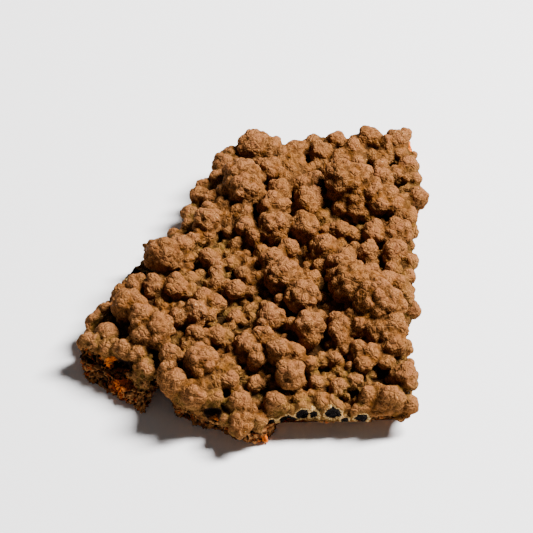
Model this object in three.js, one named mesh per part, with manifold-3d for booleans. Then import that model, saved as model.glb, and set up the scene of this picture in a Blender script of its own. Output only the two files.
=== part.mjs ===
// A hand-sized slab of mottramite: a crust of botryoidal lumps, like small cauliflower heads, grown on
// a thin plate of rusty matrix. The crust is broken along its front, its left lobe and two short edges.
// Millimetres, +Z up. The origin is under the middle of the specimen, on the surface it rests on.

import * as THREE from "three";
import { SimplifyModifier } from "three/addons/modifiers/SimplifyModifier.js";
import { mergeVertices } from "three/addons/utils/BufferGeometryUtils.js";
import Module from "manifold-3d";

const wasm = await Module();
wasm.setup();

// Driving sizes
const MATRIX_THICKNESS = 3.8;
const THINNEST_CRUST = 2.4; // between the lumps
const FIT_GAP = 0.35; // between the crust and the matrix
const ARCH = 1.6; // how far the underside bows up in the middle
const ARCH_SPAN = 52;
const UNDERSIDE_RELIEF = 1.3;
const FOOT_RISE = 0.9; // the feet are flat up to this much relief
const FLOOR_RINGS = 12; // rings of faces from the middle of the crust's floor to its edge
const UNDERSIDE_RINGS = 6;
const MATRIX_INSET = 0.985; // the matrix's outline over the crust's
const PLATE_MIDDLE = new THREE.Vector2(3, 1);

// The lumps were located on a level plane seen from the front at this elevation
const READING_HEIGHT = 12;
const VIEW_ELEVATION = THREE.MathUtils.degToRad(50);

// Each lump
const FULLNESS = 1.18; // a lump's radius over the one read, which ends where its shaded side begins
const DRAWN_IN = 0.032; // towards the middle, so that the fuller lumps end at the slab's sides and back
const SUNK = 0.75; // of the radius: how far the crust's floor lies below the middle of its lumps
const FLOOR_SMOOTHING = 4; // how widely the floor evens out its lumps' heights
const STALK_NEEDED = -0.8; // of the radius: a lump whose floor is lower than this has a stalk
const STALK_STARTS = -0.38; // of the radius: below this it narrows to its stalk
const STALK_WIDTH = 0.8; // of the lump's own width
const ROOT_DEPTH = 0.8; // how far a stalk reaches into the floor
const TURN_PER_LUMP = 2.4; // radians, so that no two neighbours show the same facets
const CRUST_FACES = 8200; // that the fused crust is simplified to
const PARTING = 0.05; // how far pinched corners move towards their neighbours, as a share

// The small lumps that fill the gaps between the ones located
const FILL_SPACING = 3.1;
const FILL_ROWS = 17; // each way from the middle
const FILL_STRAY = 0.3; // of the spacing: how far a lump may be out of its row
const FILL_RADIUS = 2.2;
const FILL_VARIATION = 0.2; // of the radius
const FILL_RISE = 0.3; // of the radius: how high its middle stands over the crust's floor
const FILL_OVERLAP = 0.63; // how near another lump's middle may be, over the two radii together

// The plate's outline seen from above, from the front right corner round by the right, back and left
const OUTLINE = [
  [39, -42.2], [40.5, -37], [40, -29], [38.5, -22], [39, -16], [41.5, -9.5], [41, -2], [41.5, 7], [42, 15],
  [43.5, 22], [45, 28], [44, 34], [44.5, 41], [43, 49], [36, 49.5], [29, 48], [22, 46], [15, 45.5],
  [8.5, 43], [1.5, 46.5], [-4, 42.5], [-8, 38], [-11.5, 32], [-14.5, 27], [-16.5, 20], [-20, 15.5],
  [-26, 12], [-29.5, 7.5], [-32.5, 3], [-36.5, -2.5], [-39.5, -9], [-41.5, -16], [-43.5, -21.5],
  [-43.5, -27.5], [-38, -32.5], [-32.5, -36], [-27.5, -37.5], [-25.4, -33], [-24, -28], [-20.5, -33.5],
  [-18.5, -38.5], [-13, -41], [-6.5, -43.5], [-0.5, -45.8], [4.5, -46.4], [8.5, -45.6], [12, -45],
  [20, -44.8], [28, -44.8], [34, -44.2],
];

// Each lump as [x, y on the reading plane, radius, height of its centre]
const BACK_LEFT_LUMPS = [
  [1, 44, 4.3, 12], [5.2, 43.5, 3.2, 12], [2.2, 40, 3, 10.5], [7.6, 40.8, 3.4, 11.5],
  [-5.4, 41, 2.8, 10], [-7.6, 37.4, 3.1, 10], [-9.2, 32.8, 2.5, 10], [-3, 33.2, 4.3, 14.5],
  [0.2, 32, 3, 14], [-2, 28, 4.5, 14.5], [-6.4, 28, 2.9, 12.5], [-3.2, 24.2, 3, 12],
  [-14.2, 26.4, 2.6, 10], [-11.4, 25.4, 2.5, 10.5], [-11.6, 20.6, 2.5, 12.5], [-11.8, 17.2, 3.2, 13],
  [-12.2, 13.2, 2.8, 11.5], [-6.5, 18.8, 2.8, 12], [-16.8, 20.2, 2.4, 8.5], [-16.6, 15.8, 2.4, 8.5],
  [-13, 29.8, 2.3, 8.5], [-8, 22.4, 2.2, 12], [-6, 13.6, 2.1, 11], [-20.8, 12.4, 2.1, 7.5],
];
const BACK_MIDDLE_LUMPS = [
  [4.6, 35.4, 3.5, 12], [8.6, 32.6, 2.4, 12], [7.6, 28.4, 3, 13], [12, 38, 2.7, 11],
  [10.4, 35, 2.5, 11.5], [13.2, 30.4, 2.8, 12.5], [16.8, 31, 3, 12.5], [15.6, 24.6, 3.6, 13],
  [6, 22.2, 3.7, 14], [6.4, 15, 4, 13.5], [14, 15, 3.6, 13.5], [15.4, 20.4, 2.4, 12], [12.4, 43.2, 3, 11],
  [17, 45.6, 2.6, 11], [19.2, 42, 3.2, 11.5], [22.8, 45.6, 3, 11], [18.4, 38, 2.4, 11],
  [23.6, 39.4, 2.7, 11.5], [28, 42.2, 3.2, 12], [29.2, 38.4, 2.6, 11.5], [14.2, 35.2, 2.2, 11],
  [19, 19, 2.2, 11],
];
const BACK_RIGHT_LUMPS = [
  [33, 47.6, 3.1, 12.5], [37.4, 45.8, 2.4, 13.5], [40.6, 46.8, 2.9, 13], [36.4, 40.4, 2.8, 11.5],
  [40.6, 41.6, 2.4, 11.5], [35.6, 33, 2.8, 13], [39.2, 34, 2.6, 12], [42.4, 37.2, 3, 11.5],
  [44.2, 32.4, 2.4, 10.5], [45.4, 26.2, 2.7, 11], [41.6, 24, 2.4, 11], [41.4, 18.2, 3, 11],
  [24.6, 32, 4.5, 17], [29, 32.6, 3.5, 16.5], [28, 28.4, 3.2, 15.5], [23.4, 27.8, 3.1, 14.5],
  [32.4, 27, 3.5, 14.5], [34.4, 23.2, 3, 13.5], [24.6, 22, 2.7, 12], [28.6, 21.6, 2.8, 12.5],
  [36.8, 26.6, 3.1, 13], [38.6, 22.6, 2.8, 12.5], [29, 46.2, 2.3, 11.5], [42.6, 49.4, 1.9, 13],
  [32.8, 40.8, 2.3, 11], [35, 37, 2.2, 13], [43, 14, 2.2, 9.5], [31.6, 19.6, 2.3, 11.5],
];
const RIGHT_LUMPS = [
  [24.2, 14, 2.7, 11.5], [33, 13, 3, 13], [39, 13.4, 3.3, 13], [38, 6.2, 3.4, 12.5], [31, 6.2, 2.7, 13],
  [41.8, 3, 2.5, 10], [19.6, 7, 3.4, 13.5], [24, 2, 3.7, 14], [18.4, 1, 2.6, 12.5], [26, -4, 4.9, 16],
  [32.6, -9.6, 4.9, 16.5], [36.6, -11, 3.2, 15], [32.2, -3.6, 2.7, 14.5], [35.6, -3.4, 2.6, 13.5],
  [38.6, -4.6, 2.6, 12], [37, 0.2, 2.4, 11.5], [41, -2.4, 2.5, 10], [40.8, -8.4, 2.4, 10],
  [42.2, -13, 2.4, 9.5], [26.6, -13.4, 2.6, 13], [28.4, -17.6, 3.3, 13.5], [32.6, -20, 3, 13],
  [36.6, -18.6, 3.4, 13.5], [36.8, -23.4, 3.3, 12.5], [20.4, 14.4, 2.3, 11], [27.2, 12.4, 2.1, 11],
  [27.4, 7, 2.3, 11], [41.6, 8.6, 2.3, 10.5], [26, 5.4, 2.2, 13], [31.6, 0, 2.3, 12],
  [39.8, -25.2, 2.2, 9.5],
];
const MIDDLE_LUMPS = [
  [-2.4, 19, 3, 12.5], [-1.4, 15, 2.9, 12.5], [1, 11.8, 2.7, 12.5], [6, 3.4, 3.2, 13],
  [9.8, 7.4, 2.7, 12.5], [8.4, -2, 4.1, 14.5], [15.4, -3.8, 2.7, 12.5], [13.2, -8.6, 4, 15],
  [8, -10.4, 2.4, 13], [4.8, -15.6, 3.2, 13.5], [14.6, -18, 3.5, 14], [15, -21.8, 2.7, 12.5],
  [22.6, -18.8, 2.5, 13.5], [23.2, -22.8, 2.4, 12.5], [3.4, -22, 2.8, 13.5], [7.4, -26, 3.2, 14],
  [11, -26.6, 2.8, 13.5], [10, -33, 3.3, 13.5], [-1, -24, 2.7, 13.5], [1.4, -28, 2.4, 13],
  [-4, -6.4, 2.6, 12], [2.6, 6.2, 2.3, 11.5], [10, -17.2, 2, 12.5], [22, -15.4, 2.1, 14],
  [15, -29.6, 2.1, 12], [0.2, -7, 2, 11.5], [-2.4, -0.6, 2, 11],
];
const LEFT_LUMPS = [
  [-31.4, -11.6, 3.8, 13], [-28, -15, 3.2, 14.5], [-23.8, -18.6, 3.4, 14], [-27.4, -21, 3.3, 13],
  [-23.6, -22.8, 2.9, 12], [-37.4, -20.6, 2.8, 9.5], [-42, -24.2, 3, 8.5], [-37.6, -25.2, 2.6, 9],
  [-32.4, -25.6, 2.8, 10.5], [-28.8, -27.2, 2.6, 10.5], [-27, -32, 2.7, 9], [-34.2, -7, 2.6, 9.5],
  [-30.6, -5, 2.8, 10.5], [-25.4, -5, 2.8, 12], [-23.4, 5.4, 4.2, 14], [-28.4, 7, 2.4, 9.5],
  [-18, 8.4, 2.7, 12.5], [-15.8, 10.6, 2.4, 12], [-11.4, 4.4, 2.5, 12.5], [-19.8, -5, 3, 12.5],
  [-8.8, -4, 2.6, 10], [-12.4, -9.4, 2.8, 11.5], [-9.2, -11.2, 2.6, 11.5], [-18.4, -15.4, 2.6, 12],
  [-14, -14, 3.1, 13], [-14, -21, 2.7, 12], [-8.6, -21.4, 2.6, 11.5], [-20.4, -27, 2.8, 12.5],
  [-21, -31.6, 2.6, 11.5], [-13, -29.4, 4, 13.5], [-7, -30.6, 2.4, 12], [-38.4, -12.8, 2.1, 8.5],
  [-17, 3.8, 2.2, 11.5], [-9, 1.8, 2.2, 12], [-16.2, -3, 2.1, 11], [-10.4, -14.4, 2.1, 12],
];
const FRONT_LUMPS = [
  [-19, -36, 3.2, 12], [-14.4, -40, 3, 11.5], [-9.4, -41, 2.6, 9.5], [-2.6, -42.4, 3.1, 9],
  [-2.6, -49, 3, 6.8], [1.6, -47.8, 2.6, 6.6], [6.4, -42, 2.8, 9.5], [12.6, -41.4, 2.6, 8.6],
  [18, -42, 2.4, 8.4], [27.8, -25.4, 2.4, 12.5], [31.2, -26.6, 2.4, 12.5], [28.6, -30.2, 2.4, 12],
  [39, -34, 3.4, 10.5], [35.4, -41, 3.4, 10], [30, -40.4, 2.7, 9], [-22, -34.6, 2.2, 10],
  [-12.2, -36.8, 2.2, 11.5], [-9, -35.4, 2.2, 11.5], [-5.4, -35, 2.3, 11.5], [21.6, -28.6, 2.2, 11],
  [34.4, -29.4, 2.2, 11.5], [22.4, -37.4, 2.3, 10], [25.6, -35.6, 2.2, 10], [40, -43, 2.5, 7.6],
  [1.2, -36.4, 2.3, 9.5], [16.6, -36.4, 2.2, 9.6], [5, -45.6, 2.2, 7.5], [9.2, -45.4, 2.4, 7.6],
  [13.4, -44.2, 2.3, 8.6], [18, -45.4, 1.9, 7.4], [21.6, -44.4, 2.4, 8.4], [27.4, -45.2, 2.3, 7.6],
  [32.6, -45, 2.2, 7.4],
];
const LOCATED_LUMPS = [
  ...BACK_LEFT_LUMPS, ...BACK_MIDDLE_LUMPS, ...BACK_RIGHT_LUMPS, ...RIGHT_LUMPS,
  ...MIDDLE_LUMPS, ...LEFT_LUMPS, ...FRONT_LUMPS,
].map(([x, readY, radius, z]) => {
  const y = readY + (READING_HEIGHT - z) / Math.tan(VIEW_ELEVATION);
  const drawnX = THREE.MathUtils.lerp(x, PLATE_MIDDLE.x, DRAWN_IN);
  const drawnY = y > PLATE_MIDDLE.y ? THREE.MathUtils.lerp(y, PLATE_MIDDLE.y, DRAWN_IN) : y;
  return { x: drawnX, y: drawnY, z, radius: radius * FULLNESS };
});

// Broken edges: each one is a straight break through the crust and the matrix, from one end to the other
// on the resting plane, with the missing side on the left hand, leaning back by an angle
const BREAKS = [
  { from: [36.5, -42.7], to: [4.5, -43.4], lean: 6 }, // the front, where the black inside shows
  { from: [-26.6, -36.4], to: [-45.1, -24.1], lean: 20 }, // the left lobe
  { from: [-40.2, -8.1], to: [-28.4, 9.9], lean: 12 }, // the left edge
  { from: [44, 50], to: [44.8, 37], lean: 0 }, // the back right corner
];
const BREAK_DEPTH = 12; // how far a break's missing side reaches
const BREAK_HEIGHT = 40;

// The matrix has come away from under the front break
const UNDERCUT = { from: [42, -39.4], to: [6.5, -40.4], lean: 0 };

// Open pockets: one in the left lobe, through the crust into the matrix, and a lump broken open in front
const POCKETS = [
  { x: -33.2, y: -27.4, z: 6.6, width: 7.2, depth: 6, height: 7 },
  { x: -9.1, y: -42, z: 7.2, width: 4.4, depth: 4.8, height: 3.8 },
];

// A closed geometry as a solid
function solid(geometry) {
  const bare = new THREE.BufferGeometry();
  bare.setAttribute("position", geometry.getAttribute("position"));
  bare.setIndex(geometry.index);
  const merged = mergeVertices(bare, 1e-4);
  return new wasm.Manifold(
    new wasm.Mesh({
      numProp: 3,
      vertProperties: merged.attributes.position.array,
      triVerts: new Uint32Array(merged.index.array),
    }),
  );
}

// A solid as a geometry
function geometryOf(body) {
  const mesh = body.getMesh();
  const geometry = new THREE.BufferGeometry();
  geometry.setAttribute("position", new THREE.BufferAttribute(mesh.vertProperties, 3));
  geometry.setIndex(new THREE.BufferAttribute(mesh.triVerts, 1));
  return geometry;
}

// The shell with the most faces alone: gaps sealed in between the stalks are filled, and crumbs dropped.
// Faces belong to one shell where they share an edge.
function mainShell(geometry) {
  const corners = geometry.index.array;
  const parent = Array.from({ length: corners.length / 3 }, (_, face) => face);
  const rootOf = (face) => {
    while (parent[face] !== face) face = parent[face] = parent[parent[face]];
    return face;
  };
  const faceAt = new Map();
  for (let i = 0; i < corners.length; i++) {
    const face = Math.floor(i / 3);
    const next = corners[face * 3 + ((i + 1) % 3)];
    const edge = Math.min(corners[i], next) + "," + Math.max(corners[i], next);
    if (faceAt.has(edge)) parent[rootOf(face)] = rootOf(faceAt.get(edge));
    else faceAt.set(edge, face);
  }
  const shells = new Map();
  for (let face = 0; face < parent.length; face++) {
    const root = rootOf(face);
    if (!shells.has(root)) shells.set(root, []);
    shells.get(root).push(...corners.slice(face * 3, face * 3 + 3));
  }
  const largest = [...shells.values()].reduce((most, one) => (one.length > most.length ? one : most));
  return geometry.clone().setIndex(largest);
}

// The same shape in about the given number of faces
async function simplified(geometry, faceCount) {
  const welded = mergeVertices(geometry, 1e-3);
  const vertices = welded.attributes.position.count;
  const surplus = vertices - faceCount / 2;
  return new SimplifyModifier().modify(welded, Math.max(0, Math.round(surplus)));
}

// The same shape with its faces drawn apart wherever they met along an edge or at a point only
function unpinched(geometry) {
  const points = geometry.attributes.position;
  const corners = geometry.index.array;
  const neighbours = Array.from({ length: points.count }, () => new Set());
  for (let i = 0; i < corners.length; i++) {
    const next = corners[i - (i % 3) + ((i + 1) % 3)];
    neighbours[corners[i]].add(next);
    neighbours[next].add(corners[i]);
  }
  const placeOf = (i) => [points.getX(i), points.getY(i), points.getZ(i)].map((v) => v.toFixed(4)).join(",");
  const sharers = new Map();
  for (const i of new Set(corners)) sharers.set(placeOf(i), [...(sharers.get(placeOf(i)) ?? []), i]);
  const parted = geometry.clone();
  for (const shared of sharers.values()) {
    if (shared.length === 1) continue;
    for (const i of shared) {
      const point = new THREE.Vector3().fromBufferAttribute(points, i);
      const middle = new THREE.Vector3();
      for (const near of neighbours[i]) middle.add(new THREE.Vector3().fromBufferAttribute(points, near));
      point.lerp(middle.divideScalar(neighbours[i].size), PARTING);
      parted.attributes.position.setXYZ(i, point.x, point.y, point.z);
    }
  }
  return parted;
}

// How far the underside bows up at a point
function arch(x, y) {
  const across = ((x - PLATE_MIDDLE.x) / ARCH_SPAN) ** 2;
  const along = ((y - PLATE_MIDDLE.y) / ARCH_SPAN) ** 2;
  return ARCH * Math.max(0, 1 - across - along);
}

// Gentle waves, from -1 to 1, that make the hidden faces uneven
function waves(x, y) {
  return Math.sin(x / 5.3 + 1.1) * Math.cos(y / 6.1 - 0.4) * 0.6 + Math.sin((x + y) / 8.7 + 2) * 0.4;
}

// The matrix's underside: hollows between flat feet on the resting plane
function underside(x, y) {
  return Math.max(0, UNDERSIDE_RELIEF * waves(x, y) + arch(x, y) - FOOT_RISE);
}

// The crust's surface between the lumps, which rises and falls with the lumps around it
function crustFloor(x, y) {
  let [total, weights] = [0, 0];
  for (const lump of LOCATED_LUMPS) {
    const distance = Math.hypot(lump.x - x, lump.y - y) / FLOOR_SMOOTHING;
    const weight = Math.exp(-(distance ** 2) / 2);
    total += weight * (lump.z - SUNK * lump.radius);
    weights += weight;
  }
  return Math.max(MATRIX_THICKNESS + THINNEST_CRUST, total / weights);
}

// Whether a point of the plan is inside the outline
function inOutline(x, y) {
  let inside = false;
  OUTLINE.forEach(([x1, y1], i) => {
    const [x2, y2] = OUTLINE[(i + 1) % OUTLINE.length];
    if (y1 > y !== y2 > y && x < x1 + ((y - y1) / (y2 - y1)) * (x2 - x1)) inside = !inside;
  });
  return inside;
}

// Small lumps, a little out of their rows, wherever the located ones leave a gap
function fillLumps() {
  const fill = [];
  for (let row = -FILL_ROWS; row <= FILL_ROWS; row++) {
    for (let column = -FILL_ROWS; column <= FILL_ROWS; column++) {
      const x = (column + (row % 2) / 2 + FILL_STRAY * Math.sin(row * 5.1 + column * 3.7)) * FILL_SPACING;
      const y = (row + FILL_STRAY * Math.cos(row * 2.9 + column * 4.3)) * FILL_SPACING;
      const radius = FILL_RADIUS * (1 + FILL_VARIATION * Math.sin(row * 3.3 + column * 7.1));
      const isFree = (other) => Math.hypot(other.x - x, other.y - y) > FILL_OVERLAP * (other.radius + radius);
      if (inOutline(x, y) && LOCATED_LUMPS.every(isFree) && fill.every(isFree)) {
        fill.push({ x, y, z: crustFloor(x, y) + FILL_RISE * radius, radius });
      }
    }
  }
  return fill;
}

// A closed plate inside the outline, in rings round its middle, between two uneven faces
function plate(spread, rings, topAt, bottomAt) {
  const perRing = OUTLINE.length;
  const faceSize = 1 + perRing * rings;
  const positions = [];
  for (const heightAt of [topAt, bottomAt]) {
    positions.push(PLATE_MIDDLE.x, PLATE_MIDDLE.y, heightAt(PLATE_MIDDLE.x, PLATE_MIDDLE.y));
    for (let ring = 1; ring <= rings; ring++) {
      for (const [outX, outY] of OUTLINE) {
        const share = (spread * ring) / rings;
        const x = PLATE_MIDDLE.x + (outX - PLATE_MIDDLE.x) * share;
        const y = PLATE_MIDDLE.y + (outY - PLATE_MIDDLE.y) * share;
        positions.push(x, y, heightAt(x, y));
      }
    }
  }
  const vertex = (face, ring, i) => face * faceSize + 1 + (ring - 1) * perRing + (i % perRing);
  const index = [];
  const addFace = (face, a, b, c) => index.push(a, ...(face === 0 ? [b, c] : [c, b]));
  for (const face of [0, 1]) {
    for (let i = 0; i < perRing; i++) {
      addFace(face, face * faceSize, vertex(face, 1, i), vertex(face, 1, i + 1));
      for (let ring = 1; ring < rings; ring++) {
        const [near, nearNext] = [vertex(face, ring, i), vertex(face, ring, i + 1)];
        const [far, farNext] = [vertex(face, ring + 1, i), vertex(face, ring + 1, i + 1)];
        addFace(face, near, far, farNext);
        addFace(face, near, farNext, nearNext);
      }
    }
  }
  for (let i = 0; i < perRing; i++) {
    const [top, topNext] = [vertex(0, rings, i), vertex(0, rings, i + 1)];
    const [low, lowNext] = [vertex(1, rings, i), vertex(1, rings, i + 1)];
    index.push(top, low, lowNext, top, lowNext, topNext);
  }
  const geometry = new THREE.BufferGeometry();
  geometry.setAttribute("position", new THREE.Float32BufferAttribute(positions, 3));
  geometry.setIndex(index);
  return geometry;
}

// One rounded lump, set in the crust's floor, or on a narrower stalk where it stands clear of it
function lump({ x, y, z, radius }, number) {
  const geometry = new THREE.IcosahedronGeometry(radius, 1);
  geometry.rotateX(number);
  geometry.rotateZ(number * TURN_PER_LUMP);
  const floor = crustFloor(x, y) - z;
  if (floor < STALK_NEEDED * radius) {
    const points = geometry.attributes.position;
    for (let i = 0; i < points.count; i++) {
      if (points.getZ(i) < STALK_STARTS * radius) {
        const [stalkX, stalkY] = [points.getX(i) * STALK_WIDTH, points.getY(i) * STALK_WIDTH];
        points.setXYZ(i, stalkX, stalkY, Math.min(floor - ROOT_DEPTH, -radius));
      }
    }
  }
  geometry.translate(x, y, z);
  return geometry;
}

// The block of missing rock beyond a break
function missingRock({ from, to, lean }) {
  const [start, end] = [new THREE.Vector2(...from), new THREE.Vector2(...to)];
  const along = end.clone().sub(start);
  const geometry = new THREE.BoxGeometry(along.length(), BREAK_DEPTH, BREAK_HEIGHT);
  geometry.translate(along.length() / 2, BREAK_DEPTH / 2, 0);
  geometry.rotateX(THREE.MathUtils.degToRad(lean));
  geometry.rotateZ(along.angle());
  geometry.translate(start.x, start.y, 0);
  return geometry;
}

// A pocket's hollow
function pocket({ x, y, z, width, depth, height }) {
  const geometry = new THREE.IcosahedronGeometry(0.5, 2);
  geometry.scale(width, depth, height);
  geometry.translate(x, y, z);
  return geometry;
}

const sheet = solid(plate(1, FLOOR_RINGS, crustFloor, () => MATRIX_THICKNESS - 1));
const belowSeam = solid(plate(1.4, 1, () => MATRIX_THICKNESS + FIT_GAP, () => -BREAK_HEIGHT));
const missing = [...BREAKS.map(missingRock), ...POCKETS.map(pocket)].map(solid);

const cutFrom = (body, cuts) => cuts.reduce((rest, cut) => rest.subtract(cut), body);
const lumps = [...LOCATED_LUMPS, ...fillLumps()];
const fused = lumps.reduce((joined, row, i) => joined.add(solid(lump(row, i))), sheet);
const filled = solid(mainShell(geometryOf(fused)));
const cutCrust = mainShell(geometryOf(cutFrom(filled, [belowSeam, ...missing])));
const lighter = solid(await simplified(cutCrust, CRUST_FACES));
const crust = unpinched(mainShell(geometryOf(lighter)));
const wholeMatrix = solid(plate(MATRIX_INSET, UNDERSIDE_RINGS, () => MATRIX_THICKNESS, underside));
const cutMatrix = cutFrom(wholeMatrix, [solid(missingRock(UNDERCUT)), ...missing]);
const matrix = mainShell(geometryOf(cutMatrix));

const crustMaterial = new THREE.MeshStandardMaterial({ color: 0x8a5a34, roughness: 0.75, metalness: 0 });
const matrixMaterial = new THREE.MeshStandardMaterial({ color: 0x9a4d1c, roughness: 0.9, metalness: 0 });

const specimen = new THREE.Group();
for (const [name, geometry, material] of [
  ["mottramite_crust", crust, crustMaterial],
  ["rusty_matrix", matrix, matrixMaterial],
]) {
  const mesh = new THREE.Mesh(geometry, material);
  mesh.name = name;
  specimen.add(mesh);
}

// The origin goes under the middle of the specimen
const extent = new THREE.Box3().setFromObject(specimen);
const middle = extent.getCenter(new THREE.Vector3());
specimen.children.forEach((mesh) => mesh.geometry.translate(-middle.x, -middle.y, -extent.min.z));

export default specimen;
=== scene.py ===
# %% [markdown]
# A slab of mottramite
#
# The object is a mineral specimen about 9 by 10 cm: a brown crust of packed round lumps, each one a little
# cauliflower head of smaller lobes, on a thin plate of rusty rock. Along the front and on the left lobe the
# crust is broken, and there a thin cream rim goes round a black, fibrous inside.
#
# The solids of the frame already have the outline, the lumps and the breaks. This lesson grows the finer
# lobes on a copy of them, roughens the breaks, and gives each surface its colour from what it is and where
# it lies: dust with a painted top light, painted shade in a crevice, a broken edge or bare rust.

# %% Load the frame
import math

import bmesh
import bpy
import numpy as np
from mathutils import Matrix, Vector, kdtree, noise


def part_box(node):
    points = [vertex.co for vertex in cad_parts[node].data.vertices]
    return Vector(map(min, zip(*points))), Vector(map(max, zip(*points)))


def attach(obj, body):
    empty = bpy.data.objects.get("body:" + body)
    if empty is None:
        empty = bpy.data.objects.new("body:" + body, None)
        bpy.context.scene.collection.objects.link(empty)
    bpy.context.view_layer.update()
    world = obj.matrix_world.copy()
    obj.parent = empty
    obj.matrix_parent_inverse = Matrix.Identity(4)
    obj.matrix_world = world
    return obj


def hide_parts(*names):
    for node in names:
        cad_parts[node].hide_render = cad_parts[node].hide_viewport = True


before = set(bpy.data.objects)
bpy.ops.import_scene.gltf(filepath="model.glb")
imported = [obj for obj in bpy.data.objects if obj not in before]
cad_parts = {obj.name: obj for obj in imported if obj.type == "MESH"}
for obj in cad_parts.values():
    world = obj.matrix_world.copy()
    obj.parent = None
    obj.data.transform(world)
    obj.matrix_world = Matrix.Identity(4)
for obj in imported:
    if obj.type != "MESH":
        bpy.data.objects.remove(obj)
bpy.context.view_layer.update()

MM = 0.001

# %% [markdown]
# The camera looks down at the slab from the front, at about 50 degrees. The specimen is small and the
# camera far off, so the lens is long and the view nearly parallel. The focal length follows from how many
# pixels a millimetre covers in the picture, how far the camera is, and how wide the picture is.

# %% Camera
IMAGE_SIDE = 533  # pixels
PIXELS_PER_MM = 3.81  # where the camera looks
CAMERA_DISTANCE = 600 * MM
CAMERA_ELEVATION = math.radians(50)
LOOK_AT = Vector((2.34, 10.07, 0)) * MM
SENSOR_WIDTH = 36.0

lens = bpy.data.cameras.new("camera")
lens.sensor_width = SENSOR_WIDTH
lens.lens = PIXELS_PER_MM * CAMERA_DISTANCE / MM / IMAGE_SIDE * SENSOR_WIDTH
lens.clip_start = 10 * MM
camera = bpy.data.objects.new("camera", lens)
towards_camera = Vector((0, -math.cos(CAMERA_ELEVATION), math.sin(CAMERA_ELEVATION)))
camera.location = LOOK_AT + CAMERA_DISTANCE * towards_camera
camera.rotation_euler = (math.pi / 2 - CAMERA_ELEVATION, 0, 0)
bpy.context.scene.collection.objects.link(camera)
bpy.context.scene.camera = camera
print("a lens of", round(lens.lens, 1), "mm")

# %% [markdown]
# Materials are built from nodes. A few helpers keep that short: one adds a node and fills its sockets, one
# mixes two colours, one turns a range of values into a mask from 0 to 1. Colours are written as the eye
# reads them on a screen, from 0 to 255, and turned into the linear values that a shader works with. Brown
# mineral colours are kept rather dark here, because the strong lamp lifts them and takes colour away.

# %% Helpers for nodes
def tint(red, green, blue):
    """A colour, given as on a screen, in the linear values that a shader works with."""
    shares = [channel / 255 for channel in (red, green, blue)]
    linear = [c / 12.92 if c <= 0.04045 else ((c + 0.055) / 1.055) ** 2.4 for c in shares]
    return (*linear, 1.0)


def add(tree, kind, inputs=None, **settings):
    """A new node. Each input is given a value, or is wired from another node's socket."""
    new = tree.nodes.new(kind)
    for name, value in settings.items():
        setattr(new, name, value)
    for socket, value in (inputs or {}).items():
        if isinstance(value, bpy.types.NodeSocket):
            tree.links.new(value, new.inputs[socket])
        else:
            new.inputs[socket].default_value = value
    return new


def blended(tree, share, first, second):
    """The colour between two others, by a share from 0 to 1."""
    return add(tree, "ShaderNodeMix", {0: share, 6: first, 7: second}, data_type="RGBA").outputs[2]


def mask(tree, value, start, full):
    """0 up to the start, 1 from full on, and a soft step between."""
    inputs = {"Value": value, "From Min": start, "From Max": full}
    return add(tree, "ShaderNodeMapRange", inputs, interpolation_type="SMOOTHSTEP").outputs["Result"]


def figured(tree, operation, first, second):
    """The result of one sum on two values."""
    return add(tree, "ShaderNodeMath", {0: first, 1: second}, operation=operation).outputs[0]


def times(tree, first, second):
    """The product of two values, as where one mask limits another."""
    return figured(tree, "MULTIPLY", first, second)


def mottled(tree, place, size, detail=2.0):
    """Soft noise whose blotches are about one size across, in metres."""
    inputs = {"Vector": place, "Scale": 1 / size, "Detail": detail}
    return add(tree, "ShaderNodeTexNoise", inputs).outputs[0]


def painted(tree, name):
    """A value that was worked out for each point of the mesh."""
    return add(tree, "ShaderNodeAttribute", attribute_name=name).outputs["Fac"]


def painted_direction(tree, name):
    """A vector that was worked out for each point of the mesh."""
    return add(tree, "ShaderNodeAttribute", attribute_name=name).outputs["Vector"]


# %% [markdown]
# The floor is a plain pale sheet, much larger than the view. It isn't part of the object, so it isn't
# attached to a body.
# A bmesh grid is the shortest way to a flat square.

# %% Floor
FLOOR_SIDE = 4.0

floor_mesh = bpy.data.meshes.new("floor")
bm = bmesh.new()
bmesh.ops.create_grid(bm, x_segments=1, y_segments=1, size=FLOOR_SIDE / 2)
bm.to_mesh(floor_mesh)
bm.free()
floor = bpy.data.objects.new("floor", floor_mesh)
bpy.context.scene.collection.objects.link(floor)

paper = bpy.data.materials.new("white paper")
paper.use_nodes = True
paper.node_tree.nodes["Principled BSDF"].inputs["Base Color"].default_value = tint(245, 243, 243)
paper.node_tree.nodes["Principled BSDF"].inputs["Roughness"].default_value = 0.9
floor_mesh.materials.append(paper)

# %% [markdown]
# The light is one long soft lamp, on the right and a little behind the slab, about 55 degrees up. Its length
# shows in the shadow on the floor: dark close to the slab, and fading over a centimetre to the left. Hardly
# any light comes from elsewhere, so the gaps between the lumps go black, and a faint pale sky does the rest.

# %% Light
KEY_TOWARDS = Vector((7.2, 3.1, 10.0)).normalized()
KEY_DISTANCE = 1.1
KEY_LENGTH = 0.48
KEY_WIDTH = 0.2
KEY_POWER = 60.0
SKY_STRENGTH = 0.085

key = bpy.data.lights.new("key", "AREA")
key.shape = "RECTANGLE"
key.size = KEY_LENGTH
key.size_y = KEY_WIDTH
key.energy = KEY_POWER
key_lamp = bpy.data.objects.new("key", key)
length_axis = Vector((0, 1, 0)).cross(KEY_TOWARDS).normalized()
width_axis = KEY_TOWARDS.cross(length_axis)
key_lamp.rotation_euler = Matrix((length_axis, width_axis, KEY_TOWARDS)).transposed().to_euler()
key_lamp.location = KEY_DISTANCE * KEY_TOWARDS
bpy.context.scene.collection.objects.link(key_lamp)

sky = bpy.data.worlds.new("pale sky")
sky.use_nodes = True
sky.node_tree.nodes["Background"].inputs["Color"].default_value = (1.0, 0.99, 0.98, 1.0)
sky.node_tree.nodes["Background"].inputs["Strength"].default_value = SKY_STRENGTH
bpy.context.scene.world = sky

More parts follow.
